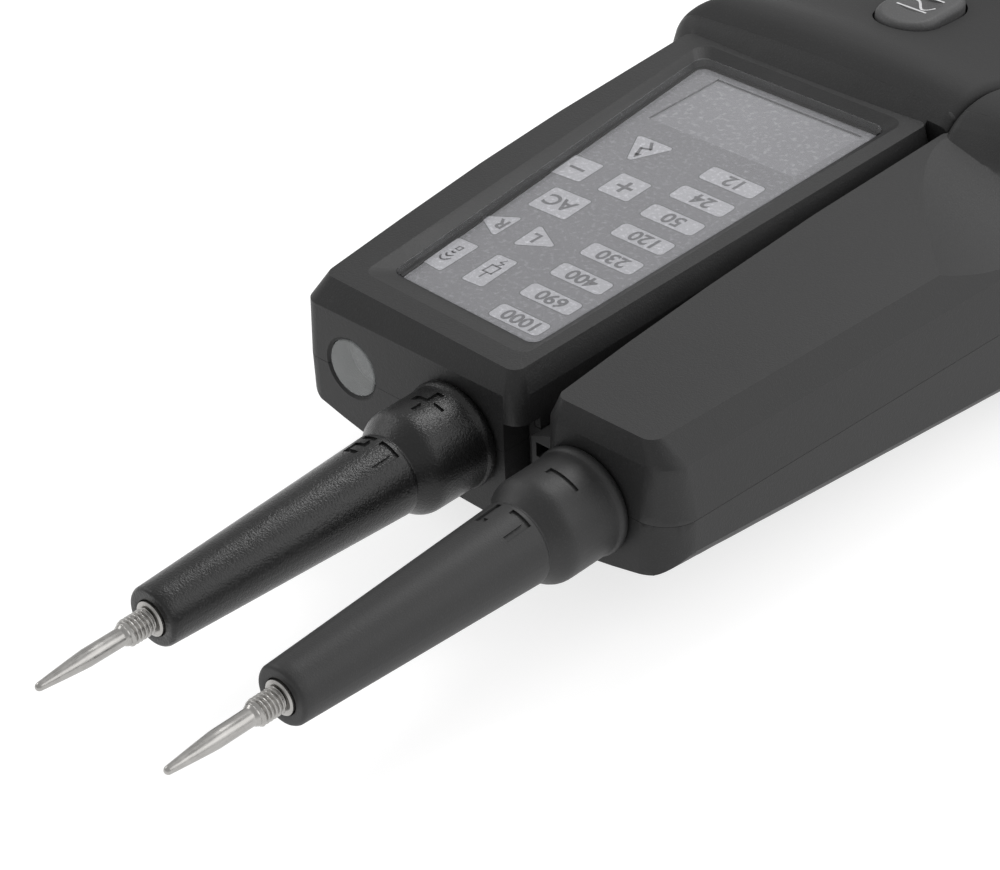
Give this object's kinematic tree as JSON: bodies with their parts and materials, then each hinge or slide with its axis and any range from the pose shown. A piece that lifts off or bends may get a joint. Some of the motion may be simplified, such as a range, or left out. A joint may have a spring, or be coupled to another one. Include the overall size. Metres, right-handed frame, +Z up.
{
  "type": "two-pole voltage tester",
  "caption": "Two-pole voltage tester with two docked probe handles, threaded needle tips, grey display window, torch and finger guards.",
  "frame": {"origin": "bottom centre of the bounding box of both docked handles, lying on their rounded backs", "axes": "+Z up out of the display, -Y along the needles, +X from the main handle to the second handle"},
  "size_m": [0.0704, 0.2594, 0.0291],
  "materials": {
    "shell": "fine spark-eroded grain, charcoal black",
    "sleeve": "soft-touch matte black",
    "probe_black": "fine grain, satin",
    "nickel": "nickel plated, lightly brushed",
    "window": "clear glossy polycarbonate over grey",
    "film": "printed grey film",
    "guide": "translucent white",
    "led": "clear chip LED",
    "lcd": "reflective LCD glass",
    "board": "solder mask",
    "component": "moulded epoxy",
    "resistor": "lacquered",
    "copper_alloy": "tinned brass",
    "lens": "moulded clear lens",
    "button": "dark grey soft plastic",
    "cell": "printed sleeve",
    "spring_steel": "nickel plated spring steel",
    "screw": "blackened steel",
    "bush": "matte black"
  },
  "bodies": {
    "main_handle": {"main_upper_shell": "shell", "main_lower_shell": "shell", "main_grip_sleeve": "sleeve", "aaa_cells": "cell", "battery_contacts": "spring_steel", "battery_tray": "component", "main_probe_sleeve": "probe_black", "main_probe_ferrule": "nickel", "main_probe_tip": "nickel", "main_probe_contact": "copper_alloy", "display_window": "window", "legend_film": "film", "light_guide": "guide", "indicator_leds": "led", "lcd_module": "lcd", "main_board": "board", "main_board_parts": "component", "buzzer": "component", "main_tact_switches": "component", "torch_lens": "lens", "torch_led": "led", "main_screws": "screw", "main_cable_bush": "bush"},
    "second_handle": {"second_upper_shell": "shell", "second_lower_shell": "shell", "second_grip_sleeve": "sleeve", "dock_rail": "shell", "second_probe_sleeve": "probe_black", "second_probe_ferrule": "nickel", "second_probe_tip": "nickel", "second_probe_contact": "copper_alloy", "second_board": "board", "series_resistors": "resistor", "second_tact_switch": "component", "second_screws": "screw", "second_cable_bush": "bush"},
    "battery_door": {"battery_door": "shell", "battery_door_screw": "screw"},
    "main_load_button": {"main_load_button": "button"},
    "torch_button": {"torch_button": "button"},
    "second_load_button": {"second_load_button": "button"}
  },
  "joints": [
    {"name": "dock_slide", "type": "slide", "parent": "main_handle", "child": "second_handle", "axis": [0, -1, 0], "range_m": [0, 0.045]},
    {"name": "battery_door_release", "type": "slide", "parent": "main_handle", "child": "battery_door", "axis": [0, 0, -1], "range_m": [0, 0.02]},
    {"name": "main_load_button_press", "type": "slide", "parent": "main_handle", "child": "main_load_button", "axis": [0, 0, -1], "range_m": [0, 0.001], "stiffness_N_per_m": 400},
    {"name": "torch_button_press", "type": "slide", "parent": "main_handle", "child": "torch_button", "axis": [0, 0, -1], "range_m": [0, 0.001], "stiffness_N_per_m": 400},
    {"name": "second_load_button_press", "type": "slide", "parent": "second_handle", "child": "second_load_button", "axis": [0, 0, -1], "range_m": [0, 0.001], "stiffness_N_per_m": 400}
  ]
}
